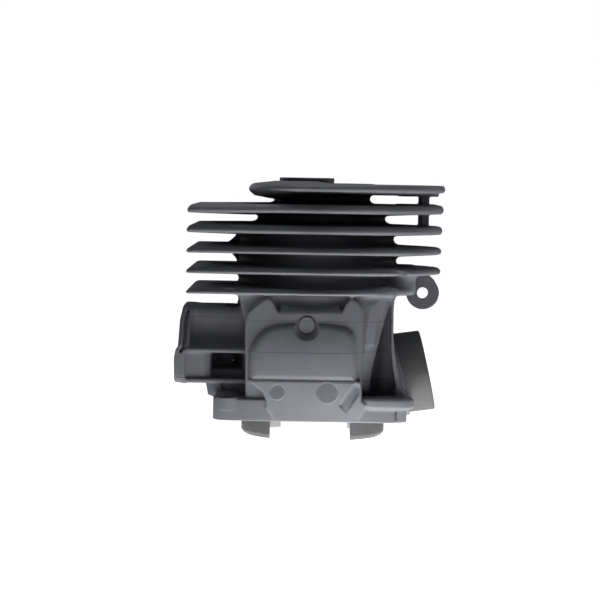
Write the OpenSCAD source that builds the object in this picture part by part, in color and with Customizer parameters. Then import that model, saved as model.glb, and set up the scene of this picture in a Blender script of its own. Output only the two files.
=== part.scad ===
// Air-cooled two-stroke engine cylinder with its head cast in one piece with it.
// Each cast feature is a closed solid of its own, and neighbours meet face to face.
// The origin is on the bore axis, at the crankcase joint face. +Z points to the spark plug,
// -X to the exhaust side, +X to the intake side. All sizes are millimetres.

/* [Bore and wall] */
// Radius of the running surface
bore_r = 25; // [24.5:0.1:25.5]
// Thickness of the hard plated layer, thicker than a real plating so that it is a solid
plating_t = 0.5; // [0.4:0.1:0.8]
// Outer radius of the cylinder wall
barrel_r = 31.2; // [30.8:0.1:31.6]
// Height of the cylindrical bore above the joint face
bore_top_z = 68; // [67:0.5:69]
// Height of the flat crown of the combustion chamber
chamber_top_z = 80; // [79:0.5:81]

/* [Base] */
// Thickness of the base flange
flange_t = 8; // [7:0.5:9]
// Half of the flange's size across the bore, front to rear
flange_half_y = 38; // [37.5:0.5:39]
// Right edge of the flange between its two pads
flange_right_x = 36; // [35:0.5:37]
// Bolt positions to each side of the bore axis
bolt_x = 33.2; // [32.8:0.1:33.6]
// Bolt positions to the front and rear of the bore axis
bolt_y = 31.2; // [30.8:0.1:31.2]
// Radius of the clearance holes for M5 screws
bolt_hole_r = 2.75; // [2.6:0.05:3]
// Height of the raised pads under the screw heads
pad_h = 1.5; // [1:0.5:2]
// Outer radius of the skirts that enter the crankcase
skirt_r = 29.15; // [28.8:0.05:29.5]
// Length of the skirts below the joint face
skirt_l = 8.6; // [8:0.2:10]

/* [Cooling fins] */
// Distance from one fin to the next
fin_pitch = 8.4; // [8.3:0.1:8.5]
// Height of the middle of the top fin
fin_top_z = 92.4; // [92:0.2:93]
// Left edge of fins 2 to 6
fin_left_x = -50.8; // [-52:0.2:-50]
// Right edge of fins 2 to 5
fin_right_x = 51.4; // [50:0.2:52]
// Half of the fins' size front to rear
fin_half_y = 38; // [37:0.5:39]
// Left edge of the top fin
top_fin_left_x = -27.3; // [-28:0.1:-26]
// Right edge of the lowest fin
low_fin_right_x = 40; // [39.5:0.1:40.5]

/* [Spark plug] */
// Radius of the round boss that the plug seats on
boss_r = 11.15; // [10.5:0.05:12]
// Offset of the plug axis towards the exhaust side
boss_x = -4; // [-5:0.5:-3]
// Height of the plug's seat
boss_top_z = 96; // [95.5:0.5:97]
// Radius of the tapped hole at the crests of an M14 x 1.25 thread
plug_hole_r = 6.33; // [6.3:0.01:6.4]

/* [Transfer covers] */
// Left face of the covers
cover_left_x = -28; // [-28.4:0.1:-27.6]
// Right face of the covers
cover_right_x = 18.5; // [18:0.5:19]
// Distance of the covers' outer faces from the bore axis
cover_y = 37; // [36.5:0.5:37.5]
// Height of the covers' top above the joint face
cover_top_z = 48.2; // [47.6:0.2:48.6]

/* [Exhaust side] */
// Lean of the exhaust face from upright, in degrees
exhaust_lean = 5.8; // [5:0.1:6.5]
// Place of the middle of the exhaust face along X
exhaust_face_x = -54.8; // [-55.2:0.2:-54.4]
// Height of the middle of the exhaust face
exhaust_face_z = 28; // [27.5:0.5:28.5]
// Thickness of the exhaust flange
exhaust_flange_t = 5; // [4.5:0.5:5.5]
// Radius of the tapped holes at the crests of an M5 thread
exhaust_hole_r = 2.1; // [2.05:0.05:2.2]
// Distance of the tapped holes from the middle plane
exhaust_hole_y = 22; // [21.5:0.5:22.5]
// Thickness of the side ribs
rib_t = 2; // [1.8:0.1:2.4]
// Distance of the ribs' outer edges from the middle plane
rib_y = 26.8; // [26:0.1:27]

/* [Intake side] */
// Rise of the intake axis away from the bore, in degrees
intake_rise = 12.5; // [12:0.5:13]
// Place of the middle of the spigot's end face along X
intake_end_x = 46.4; // [46:0.2:47]
// Height of the middle of the spigot's end face
intake_end_z = 18.35; // [18.35:0.05:18.6]
// Outer radius of the spigot
spigot_r = 16.4; // [16.2:0.1:16.4]
// Radius of the throat
throat_r = 13.5; // [13:0.1:14]
// Length of the spigot
spigot_l = 10.6; // [10:0.1:10.6]

/* [Shroud ear] */
// Radius of the ear's hole
ear_hole_r = 2.3; // [2:0.1:2.5]
// Outer radius of the ear
ear_r = 7.2; // [6.8:0.1:7.4]
// Thickness of the ear
ear_t = 4; // [3:0.5:5]

/* [Hidden] */
$fn = 96;

cast_grey = [0.40, 0.41, 0.44];
dark_grey = [0.30, 0.31, 0.34];
bright_grey = [0.66, 0.67, 0.70];
plated_grey = [0.74, 0.74, 0.72];

wall_in_r = bore_r + plating_t;
eps = 0.01;
big = 200;

// Fin number k, counted from the top: thickness and height of its middle.
fin_t = [3.2, 3.3, 3, 2.4, 2.2, 2];
function fin_z(k) = fin_top_z - (k - 1) * fin_pitch;
function fin_bottom(k) = fin_z(k) - fin_t[k - 1] / 2;
function fin_top(k) = fin_z(k) + fin_t[k - 1] / 2;

// The head narrows in two steps above the barrel. Each step is [radius, X of its axis, top].
head_steps = [
    [barrel_r, 0, fin_top(3)],
    [25.6, 2.1, fin_top(2)],
    [18.8, 3.1, fin_bottom(1)]
];

// Transfer passages, in front of the bore and mirrored behind it.
passage_x = [-22, 12];
passage_y = [28.5, 33.8];
passage_top_z = 44;
port_z = [33, 43];
divider_x = [-6, -2];

// Gaps between the two skirts, [left, right] in front of the axis and behind it.
front_gap_x = [-17.2, 14.8];
rear_gap_x = [-13.2, 14.8];

// Exhaust and intake ports, and the pockets beside the exhaust duct.
exhaust_port_y = 14;
exhaust_port_h = 15;
exhaust_slope = 13.6;
exhaust_centre_z = 31;
duct_half_y = 16.5;
duct_z = [13.7, 43.3];
pocket_x = [-41, -32.4];
pocket_z = [18.2, 25];
pocket_web_y = 1;
intake_port_y = 13.5;
intake_port_h = 19;
rib_z = [14.8, 26.9];
neck_r = spigot_r + 0.6;

// Round pads under the screw heads, a little smaller than the flange's corners.
corner_r = flange_half_y - bolt_y;
pad_r = corner_r - 1.3;

// Square pillars between the upper fins, and the gussets beside the fourth fin.
pillar_x = [42.2, 45.4];
pillar_y = [9, 13];
gusset_fin = 4;
gusset_w = 5;
gusset_tip_x = -36;

// Middle of the shroud ear, [X, Y, Z].
ear_at = [43.8, -4, 50];

// Corner radii of the fins at their left and right ends.
fin_corner_left = 3;
fin_corner_right = 36;
top_corner_left = 22;
top_corner_right = 30;
top_fin_right_x = fin_right_x + 0.6;

// Lengths of the straight passages, measured inwards from the end faces.
exhaust_passage_l = 42;
intake_passage_l = 30;
stud_hole_depth = 12;
stud_hole_drop = 7;

// Points of an arc about [cx, cy], from angle a0 to a1.
function arc(cx, cy, r, a0, a1, n = 12) =
    [for (i = [0 : n]) [cx + r * cos(a0 + (a1 - a0) * i / n), cy + r * sin(a0 + (a1 - a0) * i / n)]];

// Plate outline with one corner radius at its left end and another at its right end.
module plate_outline(x0, x1, half_y, r_left, r_right) {
    polygon(concat(
        arc(x0 + r_left, -half_y + r_left, r_left, 180, 270, 8),
        arc(x1 - r_right, -half_y + r_right, r_right, 270, 360, 16),
        arc(x1 - r_right, half_y - r_right, r_right, 0, 90, 16),
        arc(x0 + r_left, half_y - r_left, r_left, 90, 180, 8)
    ));
}

// A box given by its low and high limits.
module box(x, y, z) {
    translate([x[0], y[0], z[0]]) cube([x[1] - x[0], y[1] - y[0], z[1] - z[0]]);
}

module both_sides() {
    children();
    mirror([0, 1, 0]) children();
}

module column(r, z0, z1, x = 0) {
    translate([x, 0, z0]) cylinder(r = r, h = z1 - z0);
}

// The frames of the two machined end faces. The exhaust face looks along its own -X,
// and the spigot's end looks along its own +X.
module at_exhaust_face() {
    translate([exhaust_face_x, 0, exhaust_face_z]) rotate([0, exhaust_lean, 0]) children();
}

module at_intake_end() {
    translate([intake_end_x, 0, intake_end_z]) rotate([0, -intake_rise, 0]) children();
}

// Everything outboard of the exhaust flange's back face.
module beyond_exhaust_back() {
    at_exhaust_face() translate([exhaust_flange_t - big, -big / 2, -big / 2]) cube([big, big, big]);
}

// Everything outboard of the spigot's inner end.
module beyond_spigot_root() {
    at_intake_end() translate([-spigot_l, -big / 2, -big / 2]) cube([big, big, big]);
}

module exhaust_passage() {
    translate([exhaust_face_x, 0, exhaust_centre_z]) rotate([0, -exhaust_slope, 0])
        translate([-6, -exhaust_port_y, -exhaust_port_h / 2])
            cube([exhaust_passage_l, 2 * exhaust_port_y, exhaust_port_h]);
}

// The round throat, then the flat-sided passage that reaches the bore.
module intake_throat() {
    at_intake_end() rotate([0, -90, 0]) translate([0, 0, -eps])
        cylinder(r = throat_r, h = spigot_l + 2 + eps);
}

module intake_passage() {
    at_intake_end() translate([-intake_passage_l, -intake_port_y, -intake_port_h / 2])
        cube([intake_passage_l - spigot_l - 1, 2 * intake_port_y, intake_port_h]);
}

module transfer_passages() {
    both_sides() box(passage_x, [-passage_y[1], -passage_y[0]], [-eps, passage_top_z]);
}

// Two windows on each side, one to each side of the divider.
module transfer_ports() {
    both_sides() {
        box([passage_x[0] + 3, divider_x[0]], [-passage_y[0] - eps, -8], port_z);
        box([divider_x[1], passage_x[1] - 1], [-passage_y[0] - eps, -8], port_z);
    }
}

module skirt_gaps() {
    box(front_gap_x, [-big / 2, 0], [-skirt_l - eps, 0]);
    box(rear_gap_x, [0, big / 2], [-skirt_l - eps, 0]);
}

// The combustion chamber: a squish band, then a dome with a flat crown.
module chamber() {
    rotate_extrude() polygon([
        [0, bore_top_z - eps], [bore_r, bore_top_z - eps], [bore_r, bore_top_z + 0.6],
        [19.5, bore_top_z + 1.8], [17, bore_top_z + 6], [13.5, bore_top_z + 9.5],
        [11, chamber_top_z], [0, chamber_top_z]
    ]);
}

// The outside of the head, from the top of the barrel to the underside of the top fin.
module head_stack() {
    column(head_steps[0][0], bore_top_z, head_steps[0][2], head_steps[0][1]);
    column(head_steps[1][0], head_steps[0][2], head_steps[1][2], head_steps[1][1]);
    column(head_steps[2][0], head_steps[1][2], head_steps[2][2], head_steps[2][1]);
}

module bore_plating() {
    color(plated_grey) difference() {
        column(wall_in_r, -skirt_l, bore_top_z);
        column(bore_r, -skirt_l - eps, bore_top_z + eps);
        skirt_gaps();
        exhaust_passage();
        intake_passage();
        transfer_ports();
    }
}

module barrel_wall() {
    color(cast_grey) difference() {
        union() {
            column(barrel_r, flange_t, bore_top_z);
            column(skirt_r, 0, flange_t);
        }
        column(wall_in_r, -eps, bore_top_z + eps);
        exhaust_passage();
        intake_passage();
        transfer_passages();
        transfer_ports();
    }
}

module combustion_head() {
    color(cast_grey) difference() {
        head_stack();
        chamber();
        column(boss_r, chamber_top_z, boss_top_z, boss_x);
        column(plug_hole_r, bore_top_z + 6, chamber_top_z + eps, boss_x);
    }
}

module spark_plug_boss() {
    color(bright_grey) difference() {
        column(boss_r, chamber_top_z, boss_top_z, boss_x);
        column(plug_hole_r, chamber_top_z - eps, boss_top_z + eps, boss_x);
    }
}

// One fin, open for the barrel or head inside it.
module cooling_fin(k, x0 = fin_left_x, x1 = fin_right_x, r_left = fin_corner_left, r_right = fin_corner_right) {
    color(dark_grey) difference() {
        translate([0, 0, fin_bottom(k)]) linear_extrude(fin_t[k - 1])
            plate_outline(x0, x1, fin_half_y, r_left, r_right);
        column(barrel_r, flange_t, bore_top_z);
        head_stack();
        column(boss_r, chamber_top_z, boss_top_z, boss_x);
    }
}

module top_fin() {
    cooling_fin(1, top_fin_left_x, top_fin_right_x, top_corner_left, top_corner_right);
}

// A row of two square pillars that tie fin k to the fin below it.
module fin_pillar(k) {
    color(dark_grey) both_sides()
        box(pillar_x, [-pillar_y[1], -pillar_y[0]], [fin_top(k + 1), fin_bottom(k)]);
}

// Triangular gussets that brace one fin against the barrel on the exhaust side.
module fin_gusset_upper() {
    z0 = fin_top(gusset_fin);
    color(dark_grey) difference() {
        rotate([90, 0, 0]) linear_extrude(gusset_w, center = true)
            polygon([[gusset_tip_x, z0], [-30, z0], [-30, z0 + 4.8], [-31.5, z0 + 4.6]]);
        column(barrel_r, flange_t, bore_top_z);
        head_stack();
    }
}

module fin_gusset_lower() {
    z1 = fin_bottom(gusset_fin);
    color(dark_grey) difference() {
        rotate([90, 0, 0]) linear_extrude(gusset_w, center = true)
            polygon([[gusset_tip_x, z1], [-31.5, z1 - 4.6], [-30, z1 - 4.8], [-30, z1]]);
        column(barrel_r, flange_t, bore_top_z);
    }
}

module shroud_ear() {
    color(cast_grey) difference() {
        translate([0, ear_at[1], 0]) rotate([90, 0, 0]) linear_extrude(ear_t, center = true) difference() {
            union() {
                translate([ear_at[0], ear_at[2]]) circle(r = ear_r);
                translate([ear_at[0] - 5.5, ear_at[2]]) square([11, fin_bottom(5) - ear_at[2]]);
            }
            translate([ear_at[0], ear_at[2]]) circle(r = ear_hole_r);
        }
        linear_extrude(fin_top(6))
            plate_outline(fin_left_x, low_fin_right_x, fin_half_y, fin_corner_left, fin_corner_right);
    }
}

module base_flange() {
    color(cast_grey) difference() {
        union() {
            box([-bolt_x - corner_r, flange_right_x], [-bolt_y, bolt_y], [0, flange_t]);
            box([-bolt_x, bolt_x], [-flange_half_y, flange_half_y], [0, flange_t]);
            for (sx = [-1, 1], sy = [-1, 1])
                translate([sx * bolt_x, sy * bolt_y, 0]) cylinder(r = corner_r, h = flange_t);
        }
        column(skirt_r, -eps, flange_t + eps);
        for (sx = [-1, 1], sy = [-1, 1])
            translate([sx * bolt_x, sy * bolt_y, -eps]) cylinder(r = bolt_hole_r, h = flange_t + 2 * eps);
        transfer_passages();
        intake_passage();
        intake_throat();
    }
}

module bolt_pads() {
    color(cast_grey) for (sx = [-1, 1], sy = [-1, 1])
        translate([sx * bolt_x, sy * bolt_y, flange_t]) difference() {
            cylinder(r = pad_r, h = pad_h);
            translate([0, 0, -eps]) cylinder(r = bolt_hole_r, h = pad_h + 2 * eps);
        }
}

// One half of the ring below the flange, on the side that the sign gives.
module skirt(side) {
    color(bright_grey) intersection() {
        difference() {
            column(skirt_r, -skirt_l, 0);
            column(wall_in_r, -skirt_l - eps, eps);
            skirt_gaps();
        }
        box(side < 0 ? [-big / 2, 0] : [0, big / 2], [-big / 2, big / 2], [-skirt_l - 1, 1]);
    }
}

// Small square tabs beside the flange's right-hand pads.
module flange_tabs() {
    color(cast_grey) both_sides() box([flange_right_x, flange_right_x + 2.4], [-24, -20], [0, 4.4]);
}

module transfer_cover(side) {
    color(cast_grey) mirror([0, side > 0 ? 1 : 0, 0]) difference() {
        box([cover_left_x, cover_right_x], [-cover_y, -8], [flange_t, cover_top_z]);
        column(barrel_r, flange_t - eps, cover_top_z + eps);
        transfer_passages();
        for (sx = [-1, 1])
            translate([sx * bolt_x, -bolt_y, flange_t - eps]) cylinder(r = pad_r, h = 7);
    }
}

// The web that splits each transfer passage into its two channels.
module transfer_divider(side) {
    color(dark_grey) mirror([0, side > 0 ? 1 : 0, 0])
        box(divider_x, [-passage_y[1], -passage_y[0]], [0, passage_top_z]);
}

module exhaust_pockets() {
    both_sides() box(pocket_x, [-big / 2, -pocket_web_y], pocket_z);
}

module exhaust_duct() {
    color(cast_grey) difference() {
        box([exhaust_face_x, -20], [-duct_half_y, duct_half_y], duct_z);
        column(barrel_r, flange_t, bore_top_z);
        beyond_exhaust_back();
        exhaust_passage();
        exhaust_pockets();
    }
}

module exhaust_flange() {
    color(bright_grey) difference() {
        at_exhaust_face() rotate([0, 90, 0]) linear_extrude(exhaust_flange_t) polygon(concat(
            arc(10.8, -23.5, 3.5, 0, -90, 6), arc(0, -23.5, 3.5, -90, -135, 4),
            arc(-9.5, -13.5, 6, -135, -180, 6), arc(-9.5, 13.5, 6, 180, 135, 6),
            arc(0, 23.5, 3.5, 135, 90, 4), arc(10.8, 23.5, 3.5, 90, 0, 6)
        ));
        exhaust_passage();
        exhaust_stud_holes();
    }
}

// Tapped holes for the muffler screws, square to the exhaust face.
module exhaust_stud_holes() {
    at_exhaust_face() both_sides() translate([-eps, -exhaust_hole_y, -stud_hole_drop]) rotate([0, 90, 0])
        cylinder(r = exhaust_hole_r, h = stud_hole_depth + eps);
}

module exhaust_rib(i) {
    z0 = rib_z[i] - rib_t / 2;
    color(dark_grey) difference() {
        both_sides() box([exhaust_face_x, cover_left_x], [-rib_y, -duct_half_y], [z0, z0 + rib_t]);
        column(barrel_r, flange_t, bore_top_z);
        beyond_exhaust_back();
    }
}

module exhaust_stud_bosses() {
    color(cast_grey) difference() {
        both_sides() box([exhaust_face_x, pocket_x[0]], [-rib_y + 0.7, -duct_half_y],
                         [rib_z[0] + rib_t / 2, rib_z[1] - rib_t / 2]);
        beyond_exhaust_back();
        exhaust_stud_holes();
    }
}

// The small foot below the duct.
module exhaust_gusset() {
    color(cast_grey) rotate([90, 0, 0]) linear_extrude(6, center = true)
        polygon([[-43.9, duct_z[0]], [-43, 6.5], [-40, 6], [-40, duct_z[0]]]);
}

module intake_neck() {
    color(cast_grey) difference() {
        at_intake_end() rotate([0, -90, 0]) cylinder(r = neck_r, h = 30);
        box([-big, big], [-big, big], [-big, 0]);
        box([-big, flange_right_x], [-big, big], [-eps, flange_t]);
        column(barrel_r, 0, bore_top_z);
        beyond_spigot_root();
        intake_passage();
        intake_throat();
    }
}

// The upright wall that stiffens the intake side, spreading towards its foot.
module intake_wall() {
    color(cast_grey) difference() {
        rotate([90, 0, 0]) linear_extrude(48, center = true) polygon([
            [29, fin_bottom(6)], [31.9, fin_bottom(6)], [31.9, 33], [32.8, 20], [34.4, flange_t],
            [31, flange_t], [29, 20]
        ]);
        column(barrel_r, flange_t - 1, bore_top_z);
        at_intake_end() rotate([0, -90, 0]) cylinder(r = neck_r, h = 30);
    }
}

module intake_spigot() {
    color(bright_grey) at_intake_end() rotate([0, -90, 0]) difference() {
        cylinder(r = spigot_r, h = spigot_l);
        translate([0, 0, -eps]) cylinder(r = throat_r, h = spigot_l + 2 * eps);
    }
}

bore_plating();
barrel_wall();
combustion_head();
spark_plug_boss();
top_fin();  // cooling_fin_1
cooling_fin(2);  // cooling_fin_2
cooling_fin(3);  // cooling_fin_3
cooling_fin(4);  // cooling_fin_4
cooling_fin(5);  // cooling_fin_5
cooling_fin(6, x1 = low_fin_right_x);  // cooling_fin_6
fin_pillar(1);  // fin_pillars_upper
fin_pillar(2);  // fin_pillars_lower
fin_gusset_upper();
fin_gusset_lower();
shroud_ear();
base_flange();
bolt_pads();
skirt(-1);  // skirt_exhaust_side
skirt(1);  // skirt_intake_side
flange_tabs();
transfer_cover(-1);  // transfer_cover_front
transfer_cover(1);  // transfer_cover_rear
transfer_divider(-1);  // transfer_divider_front
transfer_divider(1);  // transfer_divider_rear
exhaust_duct();
exhaust_flange();
exhaust_rib(1);  // exhaust_rib_upper
exhaust_rib(0);  // exhaust_rib_lower
exhaust_stud_bosses();
exhaust_gusset();
intake_neck();
intake_wall();
intake_spigot();
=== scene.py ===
"""Looks of the cast two-stroke cylinder: its casting, machined parts, materials, light and camera.

The casting is described once, in millimetres, as a signed distance (below zero inside the metal).
Each piece is the surface of that shape inside one region, so neighbouring pieces continue each other.
"""
import itertools
import math

import bmesh
import bpy
import numpy as np
from mathutils import Matrix, Vector


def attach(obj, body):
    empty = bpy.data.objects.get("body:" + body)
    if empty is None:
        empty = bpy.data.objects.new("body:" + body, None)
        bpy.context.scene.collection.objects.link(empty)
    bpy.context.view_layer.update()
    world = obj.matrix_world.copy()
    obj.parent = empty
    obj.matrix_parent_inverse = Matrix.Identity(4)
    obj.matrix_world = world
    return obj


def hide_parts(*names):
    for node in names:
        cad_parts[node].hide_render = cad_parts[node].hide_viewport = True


MM = 0.001
OUT_Y = 39.5  # just outside the casting, in front and behind

# Main sizes, in mm. The origin is on the bore axis at the joint face, +Z to the plug, -X to the exhaust.
LINER_R = 25.45
BORE_TOP = 68
BOSS_R = 11.15
BOSS_X = -4
BOSS_TOP = 96
PLUG_R = 6.33
SKIRT_R = 29.15
SKIRT_L = 8.6
BASE_Z = 5.0
BOLT = (33.2, 31.2)
BOLT_HOLE_R = 2.75

# Cooling fins from the top: middle height, thickness, left edge, right edge, corner radius left, right.
FINS = [
    (92.2, 2.8, -27.3, 52.0, 22, 30),
    (83.85, 3.3, -51.1, 51.7, 3, 34),
    (75.45, 3.0, -51.3, 51.4, 3, 34),
    (67.1, 2.4, -51.3, 51.2, 3, 34),
    (59.0, 2.2, -51.3, 51.0, 3, 34),
    (50.8, 1.9, -51.3, 40.0, 3, 36),
]
FIN_HALF_Y = 38
FIN_RISE = (0.002, 0.002, 0.034, 0.028, 0.03, 0.028)  # how fast each fin's top rises inwards, mm per mm

# Above this height the top fin lies open to the light, so no painted shade is put on it near the axis.
OPEN_TOP_Z = 90.8


# ---- shapes -------------------------------------------------------------------------------------

def join(a, b, k):
    """Both shapes together, with a fillet of about k where they meet."""
    h = np.maximum(k - np.abs(a - b), 0)
    return np.minimum(a, b) - h * h / (4 * k)


def carve(a, b, k):
    """Shape a without shape b, its edge rounded by about k."""
    return -join(-a, b, k)


def common(a, b, k):
    """What both shapes share, its edge rounded by about k."""
    return -join(-a, -b, k)


def block(sides, r):
    """What lies inside all the given sides, with edges of radius r."""
    q = [s + r for s in sides]
    out = sum(np.maximum(v, 0) ** 2 for v in q) ** 0.5
    return out + np.minimum(np.maximum.reduce(q), 0) - r


def span(v, low, high):
    """Signed distance to the slab between two values."""
    return np.abs(v - (low + high) / 2) - (high - low) / 2


def polygon(u, v, points):
    """Signed distance to a closed outline of straight lines."""
    nearest = np.full(u.shape, 1e9)
    inside = np.zeros(u.shape, bool)
    for (au, av), (bu, bv) in zip(points, points[1:] + points[:1]):
        eu, ev = bu - au, bv - av
        wu, wv = u - au, v - av
        t = np.clip((wu * eu + wv * ev) / (eu * eu + ev * ev), 0, 1)
        nearest = np.minimum(nearest, (wu - eu * t) ** 2 + (wv - ev * t) ** 2)
        if ev:
            inside ^= ((av > v) != (bv > v)) & (u < eu * wv / ev + au)
    return np.where(inside, -1, 1) * np.sqrt(nearest)


def rounded_box(qx, qy, r):
    """Signed distance to a rectangle with corners of radius r, from the distances past its straight sides."""
    qx, qy = qx + r, qy + r
    return np.hypot(np.maximum(qx, 0), np.maximum(qy, 0)) + np.minimum(np.maximum(qx, qy), 0) - r


def tilted(x, z, cx, cz, degrees):
    """Coordinates along and across a direction that rises by the given angle from +X."""
    c, s = math.cos(math.radians(degrees)), math.sin(math.radians(degrees))
    return (x - cx) * c + (z - cz) * s, (z - cz) * c - (x - cx) * s


# ---- the casting --------------------------------------------------------------------------------

def column(x, y, z):
    """Barrel and head: the barrel, then a dome that narrows between the upper fins."""
    levels = [50, 58, 66, 72, 78.5, 81, 86.5, 90]
    r = np.interp(z, levels, [31.2, 31.9, 31.9, 31.1, 25.6, 25.0, 18.6, 18.2])
    middle = np.interp(z, levels, [0, 0.8, 0.8, 0.2, 2.2, 2.2, 3.1, 3.1])
    return np.maximum((np.hypot(x - middle, y) - r) * 0.85, z - 92.5)


def fin(x, y, z, k):
    """One fin, thin at its rim and thicker at its root. The rim's upper side slopes back."""
    middle, t, x0, x1, r_left, r_right = FINS[k]
    cx = (x0 + x1) / 2
    corner_r = np.where(x < cx, r_left, r_right)
    out = rounded_box(np.abs(x - cx) - (x1 - x0) / 2, np.abs(y) - FIN_HALF_Y, corner_r)
    depth = np.maximum(-out, 0)
    blunt = np.clip((x - 5) / 30, 0, 1)
    slant = np.clip(1 - depth / (2.4 - 1.4 * blunt), 0, 1) ** 1.6
    middle = middle - (0.5 if k == 1 else 0) * np.clip((-15 - x) / 30, 0, 1)
    rise = FIN_RISE[k] + (0.022 * blunt if k == 3 else 0)
    top = middle + t / 2 - (0.58 - 0.3 * blunt) * t * slant + rise * np.minimum(depth, 25)
    if k == 0:  # the top rises a little to the left of the plug's boss
        from_boss = np.hypot(x - BOSS_X, y)
        top = top + 0.9 * np.clip((21 - from_boss) / 8, 0, 1) * np.clip((5 - x) / 5, 0, 1)
    taper = 0.02 + 0.05 * blunt if k == 3 else 0.05
    root = 0.11 * np.minimum(depth, 12) if k == 0 else taper * np.minimum(depth, 24)
    low = middle - t / 2 + 0.2 * t * np.clip(1 - depth / 1.1, 0, 1) ** 2 - root
    if k == 0:  # the left end is wedge-shaped from below too
        wedge = 90.5 - 1.9 * np.clip(depth / 2.5, 0, 1) - 0.16 * np.clip(depth - 2.5, 0, 6)
        left_end = np.clip((33 - np.abs(y)) / 8, 0, 1) * np.clip((-6 - x) / 8, 0, 1)
        low = low + (wedge - low) * left_end
    d = common(common((z - top) * 0.85, (low - z) * 0.95, 0.6), out, 1.0)
    for px, py, pr, first in ((-38, -3, 4.2, 1), (25.5, -22, 6.2, 3)):
        if k >= first:  # mark of an ejector pin: a flat disc with a raised ring around it
            far = np.hypot(x - px, y - py)
            d = carve(d, block([far - pr, top - 0.12 - z], 0.1), 0.2)
            d = join(d, block([np.abs(far - pr - 0.5) - 0.35, span(z, top - 1, top + 0.38)], 0.2), 0.4)
    if k < 2:  # thicker area around the pillars
        z0, z1 = (89.2, 92) if k == 0 else (83.5, 85.9)
        d = join(d, block([span(x, 33, 49), np.abs(y) - 15, span(z, z0, z1)], 0.4), 0.6)
    return d


def pillars(x, y, z):
    """Two rows of square pillars between fins 1, 2 and 3."""
    return block([span(x, 42.2, 45.4), span(np.abs(y), 9, 13), span(z, 76, 92)], 0.4)


def fin_gussets(x, y, z):
    """Small triangles that brace the fourth fin on the exhaust side."""
    upper = polygon(x, z, [(-37, 68), (-32.2, 72.4), (-28, 73), (-28, 66)])
    lower = polygon(x, z, [(-36, 67), (-31.6, 61.8), (-28, 61), (-28, 67)])
    return block([np.minimum(upper, lower), np.abs(y) - 2.5], 0.4)


# Outlines in X and Z, seen from the front: the cover, the passage's bulge, the block below it, a pocket.
COVER = [(-26.8, -4), (-26.8, 0), (-27.5, 39), (-26.4, 42.5), (-23.6, 45.3), (-20.5, 47.5), (-19, 48),
         (-17.8, 47.8), (-16.2, 46.4), (-15.4, 44.3), (-14.2, 42.8), (10.6, 43.2), (11.4, 44.8), (12.5, 47.1),
         (14.4, 48.4), (16.8, 47.6), (18, 46.1), (18.6, 44.5), (18.9, 20), (19.5, 0.7), (19.5, -4)]
ARCH = [(-25.3, 27.9), (-24.6, 29.9), (-22.7, 33.1), (-20.3, 35.9), (-17.6, 37.6), (-15.3, 38.4),
        (-9.8, 39.1), (-3.1, 39.4), (6, 39.1), (13.1, 37.7), (15.5, 35.4), (16.5, 32.2), (16.8, 28.7),
        (17.2, 15.6), (-25.6, 15.6)]
LOWER = [(-25.6, 16.5), (-24.7, 15.0), (-20.3, 11.7), (-18.7, 8.4), (-18.6, 5.2), (-15, 0.2), (-15, -4),
         (17.3, -4), (17.3, 0.3), (21.1, 7.1), (19, 8.6), (18.4, 16.5)]
SLANT = [(18.3, 13.9), (18.0, 11.2), (13.0, 3.9), (10.2, 6.9), (13.6, 12.2), (16.4, 15.9)]
PLANE_Y = 34.1  # the cover's flat face
FRONT_Y = 38.2  # the bulge where it stands out most
PARTING_Z = 16.7  # where the bulge meets the lower block


def cover(x, y, z):
    """Transfer cover: two lobes, a sloping recess between them, and the bulge of the passage."""
    ay = np.abs(y)
    middle = np.clip((8.2 - np.abs(x + 1.8)) / 1.5 + 3.2, 0, 1)
    floor = z - 0.85 * np.clip(PLANE_Y - ay, 0, 5) * middle
    d = block([polygon(x, floor, COVER), ay - PLANE_Y], 0.9)
    front = FRONT_Y - 0.00026 * np.maximum(z - PARTING_Z, 0) ** 3
    bulge = block([polygon(x, z, ARCH), (ay - front) * 0.96], 3.0)
    lower_front = FRONT_Y - 0.06 * (PARTING_Z - z)
    lower = block([polygon(x, z, LOWER), ay - lower_front], 0.8)
    d = join(d, join(bulge, lower, 0.6), 0.5)
    # the pin at the top of the bulge, in a cone cut into it
    far = np.hypot(x + 3.1, z - 38.2)
    d = carve(d, block([(far - 3.7 - 0.8 * (ay - PLANE_Y)) * 0.8, PLANE_Y + 0.1 - ay], 0.2), 0.3)
    d = carve(d, block([np.abs(far - 3.5) - 0.4, PLANE_Y - 0.5 - ay], 0.15), 0.3)
    d = join(d, block([far - 3.1, span(ay, 30, PLANE_Y + 0.5)], 0.25), 0.15)
    # the two lower pins, each a little proud at its foot
    for px, pr in ((-14.4, 3.0), (5.3, 4.2)):
        far = np.hypot(x - px, z - 11.6)
        face = lower_front - 0.15 - 0.26 * (z - 11.6) + 0.06 * (x - px)
        d = carve(d, block([far - pr, face - ay], 0.1), 0.15)
        d = join(d, block([far - pr, (ay - face) * 0.98, 34 - ay], 0.12), 0.12)
    slant = polygon(x, z, SLANT)
    bottom = lower_front - 0.2 - 0.2 * (z - 4)
    return carve(d, block([(slant - 0.1 - 0.6 * (ay - lower_front)) * 0.8, bottom - ay], 0.2), 0.5)


# Outlines in X and Z below the fins: the casting around the barrel, the web and the upright wall.
NECK = [(-29.8, 50.4), (-29.8, 46.5), (-28.8, 43), (-27.6, 39), (-27.5, 30), (24, 30), (26, 50.4)]
RIGHT_WEB = [(17, 50.4), (28.6, 50.4), (27.6, 46.5), (24.6, 36.3), (22.4, 27), (20.8, 20), (20, 12),
             (17, 12)]
WALL = [(30.2, 50.4), (31.3, 50.4), (31.4, 34.1), (32.0, 28.2), (33.0, 21.4), (34.1, 14.8), (36.2, 9.6),
        (36, 5), (33, 5), (32.6, 14), (31.4, 21), (30.6, 28)]


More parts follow.
